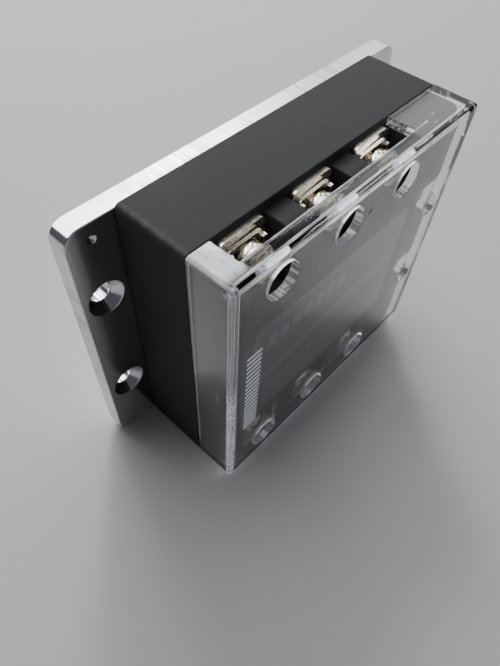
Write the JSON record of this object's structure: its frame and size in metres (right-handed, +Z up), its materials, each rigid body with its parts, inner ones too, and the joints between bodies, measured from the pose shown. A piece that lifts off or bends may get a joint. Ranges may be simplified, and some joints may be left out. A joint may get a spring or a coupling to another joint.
{
  "type": "solid state relay",
  "caption": "Solid state relay in a flat black housing on a metal plate with countersunk fixing holes, with screw terminals under a clear cover.",
  "frame": {"origin": "middle of the footprint at the lowest face, as the relay stands on its lower long edge", "axes": "+X along the long edge, to the right seen from the front; +Y from the front towards the plate's back; +Z up"},
  "size_m": [0.105, 0.036, 0.0764],
  "materials": {
    "plate_aluminium": "bright rolled face with fine scratches, machined edges",
    "housing_black": "fine moulded texture",
    "cover_clear": "polished clear moulding, frosted grip ribs",
    "label_film": null,
    "sealant": "cured silicone",
    "potting_resin": "cured encapsulating resin",
    "nut_steel": "zinc plated",
    "tinned_wire": "tinned",
    "board_green": "solder mask",
    "capacitor_case": "moulded case",
    "resistor_body": "coated",
    "chip_black": "moulded package",
    "terminal_nickel": "bright nickel plating",
    "clamp_nickel": "bright nickel plating",
    "spring_steel": "nickel plating",
    "screw_nickel": "bright nickel plating",
    "alumina": "sintered",
    "silicon": "polished",
    "copper": "bare copper",
    "optocoupler_white": "moulded package"
  },
  "bodies": {
    "relay": {"base_plate": "plate_aluminium", "housing": "housing_black", "label_panel": "label_film", "seal_bead": "sealant", "potting": "potting_resin", "power_nuts": "nut_steel", "control_nuts": "nut_steel", "gate_pins": "tinned_wire", "circuit_board": "board_green", "snubber_capacitors": "capacitor_case", "snubber_resistors": "resistor_body", "input_regulator": "chip_black", "line_terminal_1": "terminal_nickel", "load_terminal_1": "terminal_nickel", "substrate_1": "alumina", "thyristors_1": "silicon", "bridge_1": "copper", "optocoupler_1": "optocoupler_white", "line_terminal_2": "terminal_nickel", "load_terminal_2": "terminal_nickel", "substrate_2": "alumina", "thyristors_2": "silicon", "bridge_2": "copper", "optocoupler_2": "optocoupler_white", "line_terminal_3": "terminal_nickel", "load_terminal_3": "terminal_nickel", "substrate_3": "alumina", "thyristors_3": "silicon", "bridge_3": "copper", "optocoupler_3": "optocoupler_white", "control_terminal_1": "terminal_nickel", "control_terminal_2": "terminal_nickel"},
    "cover": {"terminal_cover": "cover_clear"},
    "line_washers_1": {"line_clamp_1": "clamp_nickel", "line_spring_1": "spring_steel"},
    "line_screw_1": {"line_screw_1": "screw_nickel"},
    "line_washers_2": {"line_clamp_2": "clamp_nickel", "line_spring_2": "spring_steel"},
    "line_screw_2": {"line_screw_2": "screw_nickel"},
    "line_washers_3": {"line_clamp_3": "clamp_nickel", "line_spring_3": "spring_steel"},
    "line_screw_3": {"line_screw_3": "screw_nickel"},
    "load_washers_1": {"load_clamp_1": "clamp_nickel", "load_spring_1": "spring_steel"},
    "load_screw_1": {"load_screw_1": "screw_nickel"},
    "load_washers_2": {"load_clamp_2": "clamp_nickel", "load_spring_2": "spring_steel"},
    "load_screw_2": {"load_screw_2": "screw_nickel"},
    "load_washers_3": {"load_clamp_3": "clamp_nickel", "load_spring_3": "spring_steel"},
    "load_screw_3": {"load_screw_3": "screw_nickel"},
    "control_washers_1": {"control_clamp_1": "clamp_nickel", "control_spring_1": "spring_steel"},
    "control_screw_1": {"control_screw_1": "screw_nickel"},
    "control_washers_2": {"control_clamp_2": "clamp_nickel", "control_spring_2": "spring_steel"},
    "control_screw_2": {"control_screw_2": "screw_nickel"}
  },
  "joints": [
    {"name": "cover_pull", "type": "slide", "parent": "relay", "child": "cover", "axis": [0, -1, 0], "range_m": [0, 0.03]},
    {"name": "line_1_turn", "type": "hinge", "parent": "line_washers_1", "child": "line_screw_1", "pos_m": [-0.0272, -0.008, 0.069], "axis": [0, -1, 0], "range_deg": [0, 1029.57]},
    {"name": "line_1_lift", "type": "slide", "parent": "relay", "child": "line_washers_1", "axis": [0, -1, 0], "range_m": [0, 0.002]},
    {"name": "line_2_turn", "type": "hinge", "parent": "line_washers_2", "child": "line_screw_2", "pos_m": [-0.0066, -0.008, 0.069], "axis": [0, -1, 0], "range_deg": [0, 1029.57]},
    {"name": "line_2_lift", "type": "slide", "parent": "relay", "child": "line_washers_2", "axis": [0, -1, 0], "range_m": [0, 0.002]},
    {"name": "line_3_turn", "type": "hinge", "parent": "line_washers_3", "child": "line_screw_3", "pos_m": [0.014, -0.008, 0.069], "axis": [0, -1, 0], "range_deg": [0, 1029.57]},
    {"name": "line_3_lift", "type": "slide", "parent": "relay", "child": "line_washers_3", "axis": [0, -1, 0], "range_m": [0, 0.002]},
    {"name": "load_1_turn", "type": "hinge", "parent": "load_washers_1", "child": "load_screw_1", "pos_m": [-0.0272, -0.008, 0.0074], "axis": [0, -1, 0], "range_deg": [0, 1029.57]},
    {"name": "load_1_lift", "type": "slide", "parent": "relay", "child": "load_washers_1", "axis": [0, -1, 0], "range_m": [0, 0.002]},
    {"name": "load_2_turn", "type": "hinge", "parent": "load_washers_2", "child": "load_screw_2", "pos_m": [-0.0066, -0.008, 0.0074], "axis": [0, -1, 0], "range_deg": [0, 1029.57]},
    {"name": "load_2_lift", "type": "slide", "parent": "relay", "child": "load_washers_2", "axis": [0, -1, 0], "range_m": [0, 0.002]},
    {"name": "load_3_turn", "type": "hinge", "parent": "load_washers_3", "child": "load_screw_3", "pos_m": [0.014, -0.008, 0.0074], "axis": [0, -1, 0], "range_deg": [0, 1029.57]},
    {"name": "load_3_lift", "type": "slide", "parent": "relay", "child": "load_washers_3", "axis": [0, -1, 0], "range_m": [0, 0.002]},
    {"name": "control_1_turn", "type": "hinge", "parent": "control_washers_1", "child": "control_screw_1", "pos_m": [0.0342, -0.008, 0.0511], "axis": [0, -1, 0], "range_deg": [0, 1441]},
    {"name": "control_1_lift", "type": "slide", "parent": "relay", "child": "control_washers_1", "axis": [0, -1, 0], "range_m": [0, 0.002]},
    {"name": "control_2_turn", "type": "hinge", "parent": "control_washers_2", "child": "control_screw_2", "pos_m": [0.0342, -0.008, 0.0253], "axis": [0, -1, 0], "range_deg": [0, 1441]},
    {"name": "control_2_lift", "type": "slide", "parent": "relay", "child": "control_washers_2", "axis": [0, -1, 0], "range_m": [0, 0.002]}
  ],
  "couplings": [
    {"joint": "line_1_turn", "follows": "line_1_lift", "rad_per_m": 8976},
    {"joint": "line_2_turn", "follows": "line_2_lift", "rad_per_m": 8976},
    {"joint": "line_3_turn", "follows": "line_3_lift", "rad_per_m": 8976},
    {"joint": "load_1_turn", "follows": "load_1_lift", "rad_per_m": 8976},
    {"joint": "load_2_turn", "follows": "load_2_lift", "rad_per_m": 8976},
    {"joint": "load_3_turn", "follows": "load_3_lift", "rad_per_m": 8976},
    {"joint": "control_1_turn", "follows": "control_1_lift", "rad_per_m": 12566},
    {"joint": "control_2_turn", "follows": "control_2_lift", "rad_per_m": 12566}
  ]
}
